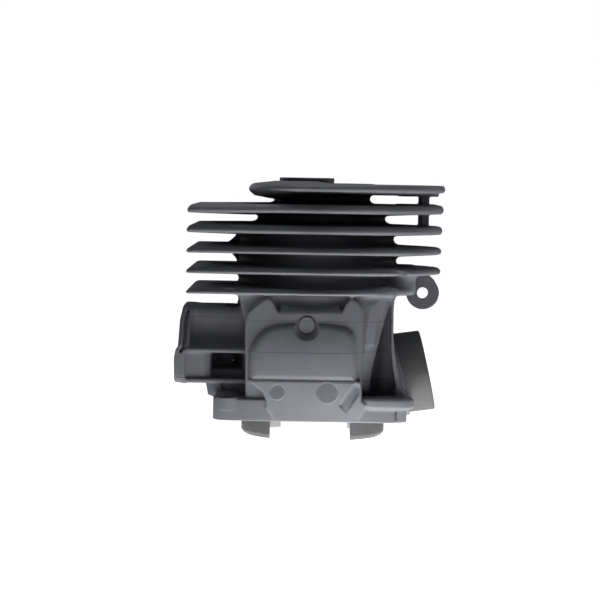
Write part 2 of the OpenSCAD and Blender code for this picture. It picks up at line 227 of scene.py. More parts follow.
def right_side(x, ay, z):
    """The web beside the cover, the hollow next to it, and the upright wall on the intake side."""
    edge = polygon(x, z, RIGHT_WEB)
    web = block([(edge + 0.75 * (np.clip(ay, 25, 31) - 28)) * 0.8, ay - 30.5], 3.5)
    hollow = block([span(x, 10, 31), ay - 16, span(z, 4, 50)], 2)
    wall = block([polygon(x, z, WALL), ay - 26.5], 0.45)
    fill = block([span(x, 20, 40.5), ay - 13, span(z, 50, 60)], 1)
    return join(join(join(web, hollow, 5), wall, 1.2), fill, 1)


def base(x, ay, z):
    """Base flange with its pads, the metal around the bolt holes, and the small tabs on its right."""
    outline = rounded_box(np.abs(x + 1.9) - 37.9, ay - 37.0 + 0.09 * z, 6.8)
    top = np.where(x < 0, 8.6, 8.0)
    d = block([outline, z - top, -3 - z], 0.8)
    nearest = np.clip(x, 24, BOLT[0])
    pad = block([np.hypot(x - nearest, ay - BOLT[1]) - 6.7, span(z, BASE_Z + 0.2, 9.8)], 1.6)
    sleeve = block([np.hypot(x - BOLT[0], ay - BOLT[1]) - 3.8, span(z, 0, 6)], 0.2)
    d = join(join(d, sleeve, 0.4), pad, 1.0)
    left_pad = block([np.hypot(x + BOLT[0], ay - BOLT[1]) - 5.5, span(z, 4, 9.0)], 0.3)
    d = join(d, left_pad, 0.6)
    corner_outline = [(33, 11.9), (35.6, 11.9), (38, 10.2), (39.7, 7.5), (36.6, 2.6), (33, 2.6)]
    corner = block([polygon(x, z, corner_outline), ay - 26], 0.4)
    d = join(d, corner, 0.6)
    tab = block([span(x, 30, 36.2), span(ay, 21, 25.5), z - 4.4], 0.3)
    slot = block([span(x, 32.2, 32.9), 34.6 - ay, z - 4.6], 0.1)
    return carve(join(d, tab, 0.3), slot, 0.1)


# The exhaust flange's face: a point on it in X and Z, and its lean in degrees.
FACE = (-54.8, 28.0)
FACE_LEAN = 5.8
# How far the edge of that face lies inwards (+) or outwards at these heights.
FACE_HEIGHTS = [13.5, 14.9, 23.8, 27.0, 27.8, 30, 38.2, 44]
FACE_STEPS = [0.9, 0.5, -0.6, -0.3, 0.4, 0.4, -0.2, 0.3]
LUG = [(-43.9, 15), (-43.9, 11.3), (-43, 6.7), (-39.8, 6), (-37.7, 8.5), (-36.5, 15)]
RIB_Y = 26.9


def exhaust(x, ay, z):
    """Exhaust duct, its flange and rim, the two side ribs, the screw bosses and the lug below."""
    u, w = tilted(x, z, FACE[0], FACE[1], -FACE_LEAN)
    u = u - np.interp(z, FACE_HEIGHTS, FACE_STEPS)
    side = 16.7 - 1.2 * np.exp(-((z - 33) / 6) ** 2)
    d = block([span(x, -60, -20), ay - side, span(z, 13.7, 43.6)], 4)
    outline = polygon(ay, w, [(-1, -10.8), (23.5, -10.8), (23.5, 0), (15, 12.4), (-1, 12.4)]) - 3.5
    # behind the thin upper rim the duct spreads out to a collar, with a groove between them
    collar = block([outline + 1.1, span(u, -4, 4.4)], 0.8)
    d = join(d, collar, 3)
    thick = block([outline, w + 0.6, span(u, -4, 4.5)], 0.5)
    boss_front = 25.2 - 0.06 * np.maximum(x + 52.5, 0) - 0.6 * np.maximum(x + 43.5, 0)
    boss = block([span(x, -60, -41), ay - boss_front, span(z, 15, 27.8)], 1.0)
    d = join(join(d, thick, 0.5), boss, 0.6)
    slope_up = 26.8 - np.clip(ay, 15, 26.8)
    for z0, z1, left, rise in ((25.8, 27.7, -51.6, 0.17 * slope_up), (13.7, 15.5, -52.6, 0.05 * slope_up)):
        plan = rounded_box(np.abs(x + 27) - (-27 - left), ay - RIB_Y, 3)
        d = join(d, block([plan, x + 26, z - z1 - rise, z0 - z], 0.8), 1.2)
    d = join(d, block([polygon(x, z, LUG), ay - 3], 0.6), 1.0)
    pocket = block([span(x, -41, -28), 1 - ay, span(z, 18.4, 25.2)], 1.3)
    d = carve(d, pocket, 1.2)
    d = carve(d, np.hypot(x + 32.8, z - 20.8) - 0.6, 0.2)
    groove = block([-(outline + 2.2), -2 - w, z - 42, span(u, 1.8, 2.9)], 0.2)
    d = carve(d, groove, 0.3)
    rim = block([outline, span(u, -4, 1.8)], 0.5)
    d = join(d, rim, 0.2)
    d = common(d, -u, 0.35)
    screw = block([np.hypot(ay - 22, w + 7) - 2.1, u - 12], 0.1)
    return carve(d, screw, 0.5)


# The middle of the spigot's mouth in X and Z, and how its axis rises in degrees.
INTAKE = (46.4, 18.35)
INTAKE_RISE = 12.5
# The combustion chamber's outline, in radius and Z.
CHAMBER = [(-1, 60), (25.2, 60), (25.2, 68.5), (19.5, 69.8), (17, 74), (13.5, 77.5), (11, 80), (-1, 80)]
SPIGOT_R = 16.4
THROAT_R = 13.5
LOWER_PARTS_Z = 58  # the parts below the fins are worked out only for blocks that reach below this height


def casting(x, y, z):
    """The whole casting without its machined bosses, spigot and skirts."""
    ay = np.abs(y)
    low, high = z.min(), z.max()
    d = common(column(x, y, z), -3 - z, 0.5)
    if low < LOWER_PARTS_Z:
        neck = block([polygon(x, z, NECK), ay - 29.5], 1.0)
        d = join(d, neck, 2)
        d = join(d, right_side(x, ay, z), 1.5)
        d = join(d, base(x, ay, z), 1.5)
        d = join(d, exhaust(x, ay, z), 3)
        axis, across = tilted(x, z, INTAKE[0], INTAKE[1], INTAKE_RISE)
        radial = np.hypot(across, y)
        d = join(d, block([radial - 17, span(axis, -34, -10.4)], 0.8), 1.0)
        d = join(d, cover(x, y, z), 0.8)
    for k, (middle, *_) in enumerate(FINS):
        if low < middle + 7 and high > middle - 7:
            d = join(d, fin(x, y, z, k), 2.8)
    if high > LOWER_PARTS_Z:
        d = join(d, pillars(x, y, z), 0.8)
        d = join(d, fin_gussets(x, y, z), 1.2)
    # openings
    bore = block([np.hypot(x, y) - LINER_R, z - BORE_TOP], 0.1)
    d = carve(d, bore, 0.3)
    if high > 62:
        chamber = polygon(np.hypot(x, y), z, CHAMBER) - 0.1
        d = carve(d, chamber, 0.4)
        plug = np.hypot(x - BOSS_X, y)
        d = carve(d, plug - PLUG_R, 0.3)
        d = carve(d, block([plug - BOSS_R + 0.05, 80 - z], 0.05), 0.15)
    if low < LOWER_PARTS_Z:
        along, up = tilted(x, z, FACE[0], 31, 13.6)
        d = carve(d, block([span(along, -20, 36), ay - 14, np.abs(up) - 7.5], 3), 0.6)
        d = carve(d, block([radial - THROAT_R, span(axis, -12.6, 30)], 0.1), 0.4)
        d = carve(d, block([span(axis, -32, -11), ay - 13.5, np.abs(across) - 9.5], 3), 0.6)
        ceiling = (z - 44 + 0.8 * np.maximum(ay - 29, 0)) * 0.8
        passage = block([span(x, -22, 12), span(ay, 28.5, 33.0), ceiling], 1)
        windows = block([np.minimum(span(x, -19, -6), span(x, -2, 11)), span(ay, 8, 30), span(z, 33, 43)], 1)
        divider = block([span(x, -6, -2), span(ay, 27, 35)], 0.5)
        d = carve(d, carve(join(passage, windows, 1), divider, 0.5), 0.5)
        holes = np.hypot(np.abs(x) - BOLT[0], ay - BOLT[1]) - BOLT_HOLE_R
        d = carve(d, holes, 0.5)
        d = common(d, -z, 0.4)
    return d


EAR = (43.8, 50.0)
EAR_R = 6.6
EAR_HOLE_R = 2.3


def ear(x, y, z):
    """The flat ear for the shroud's screw, with its web up to the fifth fin."""
    far = np.hypot(x - EAR[0], z - EAR[1])
    web = polygon(x, z, [(EAR[0] - EAR_R, 50), (36.2, 53), (37.5, 58), (45, 58.6), (48.2, 55.5), (50.0, 50)])
    outline = join(far - EAR_R, web, 1.0)
    d = block([outline, span(y, -6, -2)], 0.4)
    return carve(d, far - EAR_HOLE_R, 0.4)


# ---- from shapes to meshes ----------------------------------------------------------------------

CORNERS = list(itertools.product((0, 1), repeat=3))


def sample(shape, lines):
    """The shape's value on a grid. Only the blocks near its surface are worked out in full."""
    n = [len(v) for v in lines]
    side = 8
    step = lines[0][1] - lines[0][0]
    coarse = [v[::side] + step * (side - 1) / 2 for v in lines]
    cx, cy, cz = (g.ravel() for g in np.meshgrid(*coarse, indexing="ij"))
    rough = shape(cx, cy, cz).reshape([len(c) for c in coarse])
    near = np.abs(rough) < step * side * 1.3
    spread = rough
    mask = near
    for axis in range(3):
        spread = np.repeat(spread, side, axis)
        mask = np.repeat(mask, side, axis)
    spread = spread[: n[0], : n[1], : n[2]].copy()
    mask = mask[: n[0], : n[1], : n[2]]
    i, j, k = np.nonzero(mask)
    values = np.empty(len(i))
    order = np.argsort(lines[2][k], kind="stable")
    for part in np.array_split(order, max(1, len(i) // 400000)):
        values[part] = shape(lines[0][i[part]], lines[1][j[part]], lines[2][k[part]])
    spread[i, j, k] = values
    return spread


def slope(shape, p, h=0.05):
    """Direction in which the shape's value grows, at each point."""
    g = np.zeros_like(p)
    for corner in ((1, -1, -1), (-1, -1, 1), (-1, 1, -1), (1, 1, 1)):
        c = np.array(corner, float)
        g += c * shape(*(p + h * c).T)[:, None]
    return g / (4 * h)


def in_parts(work, p):
    """Runs the work on points sorted by height, a part at a time."""
    out = np.empty_like(p)
    order = np.argsort(p[:, 2], kind="stable")
    for part in np.array_split(order, max(1, len(p) // 100000)):
        out[part] = work(p[part])
    return out


def surface(shape, low, high, step):
    """Vertices on the shape's surface, one in each grid cell that it crosses, and the quads between them."""
    lines = [np.arange(math.floor(a / step) - 1, math.ceil(b / step) + 2) * step for a, b in zip(low, high)]
    v = sample(shape, lines)
    n = np.array(v.shape) - 1
    corner = [v[i: n[0] + i, j: n[1] + j, k: n[2] + k] for i, j, k in CORNERS]
    inside = sum((c < 0).astype(np.int8) for c in corner)
    cells = np.nonzero((inside > 0) & (inside < 8))
    values = np.stack([c[cells] for c in corner], 1)
    total = np.zeros((len(values), 3))
    count = np.zeros(len(values))
    for a, b in itertools.combinations(range(8), 2):
        pa, pb = np.array(CORNERS[a], float), np.array(CORNERS[b], float)
        if np.abs(pa - pb).sum() == 1:
            va, vb = values[:, a], values[:, b]
            cross = (va < 0) != (vb < 0)
            t = np.where(cross, va / np.where(cross, va - vb, 1), 0)
            total += np.where(cross[:, None], pa + t[:, None] * (pb - pa), 0)
            count += cross
    points = (np.stack(cells, 1) + total / count[:, None]) * step + np.array([c[0] for c in lines])
    number = np.full(n, -1)
    number[cells] = np.arange(len(values))
    quads = []
    for axis in range(3):
        a, b = (axis + 1) % 3, (axis + 2) % 3
        first = [slice(1, -1)] * 3
        first[axis] = slice(0, -1)
        second = list(first)
        second[axis] = slice(1, None)
        s0, s1 = v[tuple(first)] < 0, v[tuple(second)] < 0
        where = np.nonzero(s0 != s1)
        at = np.stack(where, 1) + 1
        at[:, axis] -= 1
        ring = []
        for da, db in ((0, 0), (1, 0), (1, 1), (0, 1)):
            cell = at.copy()
            cell[:, a] -= da
            cell[:, b] -= db
            ring.append(number[tuple(cell.T)])
        quad = np.stack(ring, 1)
        quad[~s0[where]] = quad[~s0[where]][:, ::-1]
        quads.append(quad)
    quads = np.concatenate(quads)

    def settle(p):
        g = slope(shape, p)
        move = -shape(*p.T)[:, None] * g / np.maximum((g * g).sum(1), 0.25)[:, None]
        far = np.linalg.norm(move, axis=1)
        return p + move * np.minimum(1, 0.5 * step / np.maximum(far, 1e-9))[:, None]

    for _ in range(2):
        points = in_parts(settle, points)
    return points, quads[(quads >= 0).all(1)]


def add_mesh(name, points, faces):
    """A smooth object from points in mm."""
    mesh = bpy.data.meshes.new(name)
    mesh.from_pydata((np.asarray(points) * MM).tolist(), [], [list(f) for f in faces])
    mesh.shade_smooth()
    obj = bpy.data.objects.new(name, mesh)
    bpy.context.scene.collection.objects.link(obj)
    return obj


def smooth_normals(obj, shape):
    """Takes the normals from the shape itself, so that the grid doesn't show in the shading."""
    mesh = obj.data
    co = np.zeros(len(mesh.vertices) * 3, np.float32)
    mesh.vertices.foreach_get("co", co)
    g = in_parts(lambda p: slope(shape, p, 0.12), co.reshape(-1, 3).astype(float) / MM)
    g /= np.maximum(np.linalg.norm(g, axis=1), 1e-9)[:, None]
    mesh.normals_split_custom_set_from_vertices(g.tolist())


def region(name, shape, low, high, step, cuts=""):
    """The shape's surface in a box. Cuts such as x- or z+ name the sides that are cut flat and closed."""
    margin = 3 * step
    sides = [("xyz"[i] + sign, i, lim) for sign, lim in (("-", low), ("+", high)) for i in range(3)]
    points, quads = surface(shape, [v - margin for v in low], [v + margin for v in high], step)
    mesh = bpy.data.meshes.new(name)
    mesh.from_pydata((points * MM).tolist(), [], quads.tolist())
    bm = bmesh.new()
    bm.from_mesh(mesh)
    for label, i, limit in sides:
        if label in cuts:
            normal = Vector((0, 0, 0))
            normal[i] = 1 if label[1] == "+" else -1
            at = Vector((0, 0, 0))
            at[i] = limit[i] * MM
            geom = list(bm.verts) + list(bm.edges) + list(bm.faces)
            made = bmesh.ops.bisect_plane(bm, geom=geom, plane_co=at, plane_no=normal, clear_outer=True)
            edges = [e for e in made["geom_cut"] if isinstance(e, bmesh.types.BMEdge) and e.is_boundary]
            bmesh.ops.triangle_fill(bm, use_beauty=False, use_dissolve=False, edges=edges, normal=normal)
    bm.to_mesh(mesh)
    bm.free()
    mesh.shade_smooth()
    obj = bpy.data.objects.new(name, mesh)
    bpy.context.scene.collection.objects.link(obj)
    smooth_normals(obj, shape)
    return obj


def lathe(name, profile, centre, turns, rise=None, thread=None):
    """A turned part from a closed profile of (radius, height) points.

    rise turns its axis towards +X, to rise by that many degrees. thread is (first height, last height,
    pitch, depth, largest radius) of a thread cut into the profile's inner wall.
    """
    rings = len(profile)
    angles = np.linspace(0, 2 * np.pi, turns, endpoint=False)
    points = []
    for a in angles:
        for r, h in profile:
            if thread and thread[0] <= h <= thread[1] and r < thread[4]:
                phase = (h / thread[2] - a / (2 * np.pi)) % 1
                r = r + thread[3] * (1 - abs(2 * phase - 1))
            points.append((r * math.cos(a), r * math.sin(a), h))
    faces = []
    for i in range(turns):
        j = (i + 1) % turns
        for k in range(rings):
            m = (k + 1) % rings
            faces.append((i * rings + k, j * rings + k, j * rings + m, i * rings + m))
    points = np.array(points)
    if rise is not None:  # the mouth is cut a little out of square, and then the part is turned over
        points[:, 0] += 0.08 * points[:, 2]
        c, s = math.cos(math.radians(rise)), math.sin(math.radians(rise))
        x, y, z = points.T
        points = np.stack([z * c + x * s, -y, z * s - x * c], 1)
    obj = add_mesh(name, points + np.array(centre), faces)
    crisp(obj)
    return obj


def crisp(obj, degrees=28):
    """Keeps the machined edges sharp in the shading, and makes the faces look outwards."""
    bm = bmesh.new()
    bm.from_mesh(obj.data)
    bmesh.ops.recalc_face_normals(bm, faces=bm.faces)
    for e in bm.edges:
        e.smooth = e.calc_face_angle(0) < math.radians(degrees)
    bm.to_mesh(obj.data)
    bm.free()


def skirt(name, side):
    """One half of the ring that enters the crankcase, ending at flat faces X = constant."""
    profile = [(25.5, -SKIRT_L + 0.4), (25.9, -SKIRT_L), (27.2, -SKIRT_L), (28.4, -SKIRT_L + 0.7),
               (SKIRT_R, -SKIRT_L + 1.9), (SKIRT_R, -0.9), (SKIRT_R - 0.35, -0.55), (SKIRT_R - 0.35, 0.6),
               (25.5, 0.6)]
    front, rear = ((-17.2, -13.2), (14.8, 14.8))[side > 0]
    steps = 72
    points = []
    for i in range(steps + 1):
        t = i / steps
        for r, h in profile:
            start, end = math.acos(rear / r), 2 * math.pi - math.acos(front / r)
            if side > 0:
                start, end = -math.acos(front / r), math.acos(rear / r)
            a = start + (end - start) * t
            points.append((r * math.cos(a), r * math.sin(a), h))
    n = len(profile)
    faces = [(i * n + k, (i + 1) * n + k, (i + 1) * n + (k + 1) % n, i * n + (k + 1) % n)
             for i in range(steps) for k in range(n)]
    faces += [tuple(range(n)), tuple(range(steps * n, steps * n + n))[::-1]]
    obj = add_mesh(name, points, faces)
    crisp(obj)
    return obj


# ---- materials ----------------------------------------------------------------------------------

def new_material(name):
    """A new material, its node tree and its main shader."""
    m = bpy.data.materials.new(name)
    m.use_nodes = True
    tree = m.node_tree
    return m, tree, tree.nodes["Principled BSDF"]


def node(tree, kind, values=None, **props):
    """A new node with the given input values and properties."""
    n = tree.nodes.new(kind)
    for key, value in props.items():
        setattr(n, key, value)
    for key, value in (values or {}).items():
        n.inputs[key].default_value = value
    return n


def maths(tree, operation, a, b=None, c=None, clamp=False):
    """The result of a maths node, whose inputs are numbers or other nodes' outputs."""
    n = tree.nodes.new("ShaderNodeMath")
    n.operation = operation
    n.use_clamp = clamp
    for i, v in enumerate((a, b, c)):
        if v is None:
            continue
        if isinstance(v, bpy.types.NodeSocket):
            tree.links.new(v, n.inputs[i])
        else:
            n.inputs[i].default_value = v
    return n.outputs[0]


def noise(tree, coord, scale, detail=4, rough=0.55):
    """The value of a noise texture."""
    n = node(tree, "ShaderNodeTexNoise", {"Scale": scale, "Detail": detail, "Roughness": rough})
    tree.links.new(coord, n.inputs["Vector"])
    return n.outputs["Fac"]


def ramp(tree, fac, stops):
    """A colour ramp through the given (position, colour) stops."""
    n = tree.nodes.new("ShaderNodeValToRGB")
    e = n.color_ramp.elements
    e[0].position, e[0].color = stops[0]
    e[1].position, e[1].color = stops[-1]
    for position, color in stops[1:-1]:
        e.new(position).color = color
    tree.links.new(fac, n.inputs["Fac"])
    return n.outputs["Color"]


def grey(level, blue=1.13):
    """A grey whose blue part is multiplied by the second number."""
    return (level, level * 1.01, level * blue, 1)


REACH_SCALE = 20  # brings radii of up to 50 mm into a ramp's range of 0 to 1


def cast_material(name, level, parting=(), painted_shade=None):
    """Painted cast aluminium: fine grain, soft mottling, and hairlines where the die's parts met.

    parting lists those hairlines' heights in mm and their strengths. The last argument paints shade onto the
    skin close to the cylinder's wall, between the fins and in the recesses: how dark that painted shade gets,
    and the radii in mm where it starts and ends.
    """
    m, tree, bsdf = new_material(name)
    coord = tree.nodes.new("ShaderNodeTexCoord").outputs["Object"]
    mottle = noise(tree, coord, 70, 5, 0.6)
    grain = noise(tree, coord, 1600, 3, 0.6)
    pits = noise(tree, coord, 420, 2, 0.5)
    blotch = noise(tree, coord, 190, 4, 0.65)
    mix = maths(tree, "MULTIPLY_ADD", grain, 0.3, maths(tree, "MULTIPLY", mottle, 0.7))
    color = ramp(tree, mix, [(0.3, grey(level * 0.86)), (0.5, grey(level)), (0.72, grey(level * 1.12))])
    height = maths(tree, "ADD", maths(tree, "MULTIPLY", grain, 0.45), maths(tree, "MULTIPLY", blotch, 0.8))
    height = maths(tree, "MULTIPLY_ADD", pits, 0.5, height)
    if parting:
        split = tree.nodes.new("ShaderNodeSeparateXYZ")
        tree.links.new(coord, split.inputs[0])
        wander = maths(tree, "MULTIPLY_ADD", noise(tree, coord, 60, 2), 0.0005, split.outputs["Z"])
        worn = maths(tree, "GREATER_THAN", noise(tree, coord, 130, 2), 0.36)
        line = None
        for z, strength in parting:
            off = maths(tree, "ABSOLUTE", maths(tree, "SUBTRACT", wander, (z + 0.25) * MM))
            one = maths(tree, "SUBTRACT", 1.0, maths(tree, "DIVIDE", off, 0.0003), clamp=True)
            one = maths(tree, "MULTIPLY", one, strength)
            line = one if line is None else maths(tree, "MAXIMUM", line, one)
        line = maths(tree, "MULTIPLY", line, maths(tree, "MULTIPLY_ADD", worn, 0.55, 0.45))
        dark = node(tree, "ShaderNodeMix", data_type="RGBA")
        dark.inputs["B"].default_value = grey(level * 0.3)
        tree.links.new(maths(tree, "MULTIPLY", line, 0.8), dark.inputs["Factor"])
        tree.links.new(color, dark.inputs["A"])
        color = dark.outputs["Result"]
        height = maths(tree, "SUBTRACT", height, maths(tree, "MULTIPLY", line, 1.6))
    # painted shade: the colour darkens towards the cylinder's axis, between the fins and in the recesses, but
    # not on the open top fin
    if painted_shade:
        place = tree.nodes.new("ShaderNodeSeparateXYZ")
        tree.links.new(coord, place.inputs[0])
        x2 = maths(tree, "MULTIPLY", place.outputs["X"], place.outputs["X"])
        y2 = maths(tree, "MULTIPLY", place.outputs["Y"], place.outputs["Y"])
        reach = maths(tree, "SQRT", maths(tree, "ADD", x2, y2))
        open_top = maths(tree, "GREATER_THAN", place.outputs["Z"], OPEN_TOP_Z * MM)
        reach = maths(tree, "ADD", open_top, reach)
        darkest, start, end = painted_shade
        stops = [(start * MM * REACH_SCALE, grey(darkest, 1)), (end * MM * REACH_SCALE, grey(1, 1))]
        near = ramp(tree, maths(tree, "MULTIPLY", reach, REACH_SCALE), stops)
        shade = node(tree, "ShaderNodeMix", data_type="RGBA", blend_type="MULTIPLY")
        shade.inputs["Factor"].default_value = 1.0
        tree.links.new(color, shade.inputs["A"])
        tree.links.new(near, shade.inputs["B"])
        color = shade.outputs["Result"]
    tree.links.new(color, bsdf.inputs["Base Color"])
    rough = maths(tree, "MULTIPLY_ADD", blotch, 0.2, 0.42)
    tree.links.new(rough, bsdf.inputs["Roughness"])
    bsdf.inputs["Metallic"].default_value = 0.0
    bsdf.inputs["Specular IOR Level"].default_value = 0.45
    bump = node(tree, "ShaderNodeBump", {"Strength": 0.3, "Distance": 0.00012})
    tree.links.new(height, bump.inputs["Height"])
    tree.links.new(bump.outputs["Normal"], bsdf.inputs["Normal"])
    return m


def machined_material(name, level, metallic, axis_rise=None, centre=(0, 0, 0)):
    """Turned aluminium with fine tool lines around its axis."""
    m, tree, bsdf = new_material(name)
    coord = tree.nodes.new("ShaderNodeTexCoord").outputs["Object"]
    mapping = node(tree, "ShaderNodeMapping")
    mapping.vector_type = "TEXTURE"
    mapping.inputs["Location"].default_value = centre
    if axis_rise is not None:
        mapping.inputs["Rotation"].default_value = (0, math.radians(90 - axis_rise), 0)
    tree.links.new(coord, mapping.inputs["Vector"])
    split = tree.nodes.new("ShaderNodeSeparateXYZ")
    tree.links.new(mapping.outputs[0], split.inputs[0])
    x2 = maths(tree, "MULTIPLY", split.outputs["X"], split.outputs["X"])
    y2 = maths(tree, "MULTIPLY", split.outputs["Y"], split.outputs["Y"])
    radius = maths(tree, "SQRT", maths(tree, "ADD", x2, y2))
    travel = maths(tree, "ADD", radius, split.outputs["Z"])
    lines = maths(tree, "SINE", maths(tree, "MULTIPLY", travel, 2 * math.pi / 0.00042))
    spots = noise(tree, coord, 260, 4, 0.6)
    grain = noise(tree, coord, 1500, 2, 0.5)
    color = ramp(tree, spots, [(0.35, grey(level * 0.85, 1.03)), (0.65, grey(level, 1.02))])
    tree.links.new(color, bsdf.inputs["Base Color"])
    bsdf.inputs["Metallic"].default_value = metallic
    rough = maths(tree, "MULTIPLY_ADD", spots, 0.2, 0.42)
    tree.links.new(rough, bsdf.inputs["Roughness"])
    height = maths(tree, "MULTIPLY_ADD", grain, 0.5, maths(tree, "MULTIPLY", lines, 0.5))
    bump = node(tree, "ShaderNodeBump", {"Strength": 0.25, "Distance": 0.00004})
    tree.links.new(height, bump.inputs["Height"])
    tree.links.new(bump.outputs["Normal"], bsdf.inputs["Normal"])
    return m


def plating_material(name):
    """Hard plating, honed with crossed scratches."""
    m, tree, bsdf = new_material(name)
    coord = tree.nodes.new("ShaderNodeTexCoord").outputs["Object"]
    split = tree.nodes.new("ShaderNodeSeparateXYZ")
    tree.links.new(coord, split.inputs[0])
    turn = maths(tree, "MULTIPLY", maths(tree, "ARCTAN2", split.outputs["Y"], split.outputs["X"]), 0.025)
    rise = split.outputs["Z"]
    scratches = []
    for sign in (1, -1):
        v = maths(tree, "MULTIPLY_ADD", turn, sign * 0.55, rise)
        line = node(tree, "ShaderNodeCombineXYZ")
        tree.links.new(v, line.inputs[0])
        scratches.append(noise(tree, line.outputs[0], 2600, 2, 0.7))
    height = maths(tree, "ADD", scratches[0], scratches[1])
    color = ramp(tree, height, [(0.7, (0.42, 0.42, 0.41, 1)), (1.0, (0.6, 0.6, 0.58, 1))])
    tree.links.new(color, bsdf.inputs["Base Color"])
    bsdf.inputs["Metallic"].default_value = 0.95
    bsdf.inputs["Roughness"].default_value = 0.32
    bump = node(tree, "ShaderNodeBump", {"Strength": 0.35, "Distance": 0.00003})
    tree.links.new(height, bump.inputs["Height"])
    tree.links.new(bump.outputs["Normal"], bsdf.inputs["Normal"])
    return m


# ---- build --------------------------------------------------------------------------------------

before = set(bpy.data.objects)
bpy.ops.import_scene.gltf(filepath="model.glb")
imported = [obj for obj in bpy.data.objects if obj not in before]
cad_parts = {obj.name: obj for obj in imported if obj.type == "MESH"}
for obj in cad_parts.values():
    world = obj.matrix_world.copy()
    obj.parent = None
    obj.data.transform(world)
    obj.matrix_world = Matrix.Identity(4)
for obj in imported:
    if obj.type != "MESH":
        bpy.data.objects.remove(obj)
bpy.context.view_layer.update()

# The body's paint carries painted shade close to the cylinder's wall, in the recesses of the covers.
body_shaded_paint = cast_material("cast_body_shaded_paint", 0.235, parting=((39.6, 0.6), (27.4, 0.7), (15.8, 1.0)),
                           painted_shade=(0.38, 31.3, 33.9))
# The fins' paint is lighter than the body's to paint the light on their rims, and carries painted shade
# between them near the axis.
fin_lit_shaded_paint = cast_material("cast_fin_lit_shaded_paint", 0.34, painted_shade=(0.2, 31.5, 38.5))
# The ear's paint is darker than the body's to paint the shade that it sits in.
ear_shaded_paint = cast_material("cast_ear_shaded_paint", 0.18)
turned = machined_material("turned_aluminium", 0.16, 0.5)
skirt_metal = machined_material("turned_skirt", 0.11, 0.2)
spigot_metal = machined_material("turned_spigot", 0.17, 0.25, INTAKE_RISE,
                                 (INTAKE[0] * MM, 0, INTAKE[1] * MM))
plating = plating_material("honed_plating")


def finish_piece(obj, material, slot, *nodes):
    """Gives a piece its material, hangs it on the root body and hides the nodes of the CAD that it replaces.
    slot is not used.
    """
    obj.data.materials.append(material)
    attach(obj, "root")
    for n in nodes:
        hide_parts(n)


# Grid steps in mm, and the heights at which the casting is divided into fins and the parts below.
COARSE = 0.5
FINE = 0.32
cuts_z = [98, 88.4, 80.0, 71.6, 63.2, 55.0, 48.9]
fin_nodes = [
    ["cooling_fin_1"],
    ["cooling_fin_2", "fin_pillars_upper", "combustion_head"],
    ["cooling_fin_3", "fin_pillars_lower"],
    ["cooling_fin_4", "fin_gusset_upper"],
    ["cooling_fin_5", "fin_gusset_lower"],
    ["cooling_fin_6"],
]
for k in range(6):
    piece = region(f"fin_{k + 1}", casting, (-53, -OUT_Y, cuts_z[k + 1]), (53.5, OUT_Y, cuts_z[k]), COARSE,
                   "z-" if k == 0 else "z- z+")
    finish_piece(piece, fin_lit_shaded_paint, "cast_fins", *fin_nodes[k])

TOP_Z = cuts_z[-1]
LEFT_X, RIGHT_X = -28.8, 20.2
SIDE_Y = 33.6
finish_piece(region("flange", casting, (-41, -OUT_Y, -0.5), (41, OUT_Y, BASE_Z), FINE, "z+"),
             body_shaded_paint, "cast_body", "base_flange", "flange_tabs")
finish_piece(region("front_cover", casting, (LEFT_X, -OUT_Y, BASE_Z), (RIGHT_X, -SIDE_Y, TOP_Z), FINE,
                    "x- x+ y+ z- z+"), body_shaded_paint, "cast_body", "transfer_cover_front")
finish_piece(region("rear_cover", casting, (LEFT_X, SIDE_Y, BASE_Z), (RIGHT_X, OUT_Y, TOP_Z), FINE,
                    "x- x+ y- z- z+"), body_shaded_paint, "cast_body", "transfer_cover_rear")
finish_piece(region("barrel", casting, (LEFT_X, -SIDE_Y, BASE_Z), (RIGHT_X, SIDE_Y, TOP_Z), COARSE,
                    "x- x+ y- y+ z- z+"), body_shaded_paint, "cast_body", "barrel_wall", "transfer_divider_front",
             "transfer_divider_rear")
finish_piece(region("exhaust_side", casting, (-60, -OUT_Y, BASE_Z), (LEFT_X, OUT_Y, TOP_Z), COARSE,
                    "x+ z- z+"), body_shaded_paint, "cast_body", "exhaust_duct", "exhaust_flange",
             "exhaust_rib_upper", "exhaust_rib_lower", "exhaust_stud_bosses", "exhaust_gusset")
finish_piece(region("intake_side", casting, (RIGHT_X, -OUT_Y, BASE_Z), (44, OUT_Y, TOP_Z), COARSE,
                    "x- z- z+"), body_shaded_paint, "cast_body", "intake_wall", "intake_neck", "bolt_pads")
finish_piece(region("ear", ear, (34, -7, 41), (53, -1, 60), FINE), ear_shaded_paint, "cast_fins", "shroud_ear")

PLUG_THREAD = (81, 95, 1.25, 0.68, 7)  # first and last height, pitch, depth, largest radius
thread_heights = np.arange(81.2, 95, 0.125)
boss_profile = [(PLUG_R + 0.9, 80.0), (PLUG_R, 80.9), *((PLUG_R, h) for h in thread_heights), (PLUG_R, 95.0),
                (PLUG_R + 0.9, BOSS_TOP), (BOSS_R - 0.3, BOSS_TOP), (BOSS_R, BOSS_TOP - 0.3), (BOSS_R, 80.0)]
finish_piece(lathe("plug_boss", boss_profile, (BOSS_X, 0, 0), 96, thread=PLUG_THREAD),
             turned, "machined", "spark_plug_boss")

spigot_profile = [(THROAT_R, -10.6), (SPIGOT_R, -10.6), (SPIGOT_R, -0.45), (SPIGOT_R - 0.4, 0),
                  (THROAT_R + 0.6, 0), (THROAT_R, -0.6)]
finish_piece(lathe("spigot", spigot_profile, (INTAKE[0], 0, INTAKE[1]), 160, rise=INTAKE_RISE),
             spigot_metal, "machined", "intake_spigot")
finish_piece(skirt("skirt_left", -1), skirt_metal, "machined", "skirt_exhaust_side")
finish_piece(skirt("skirt_right", 1), skirt_metal, "machined", "skirt_intake_side")

# The bore's plating keeps the mesh from the CAD and only gets a new material.
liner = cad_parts["bore_plating"]
liner.data.materials.clear()
liner.data.materials.append(plating)


# ---- floor, light and camera --------------------------------------------------------------------

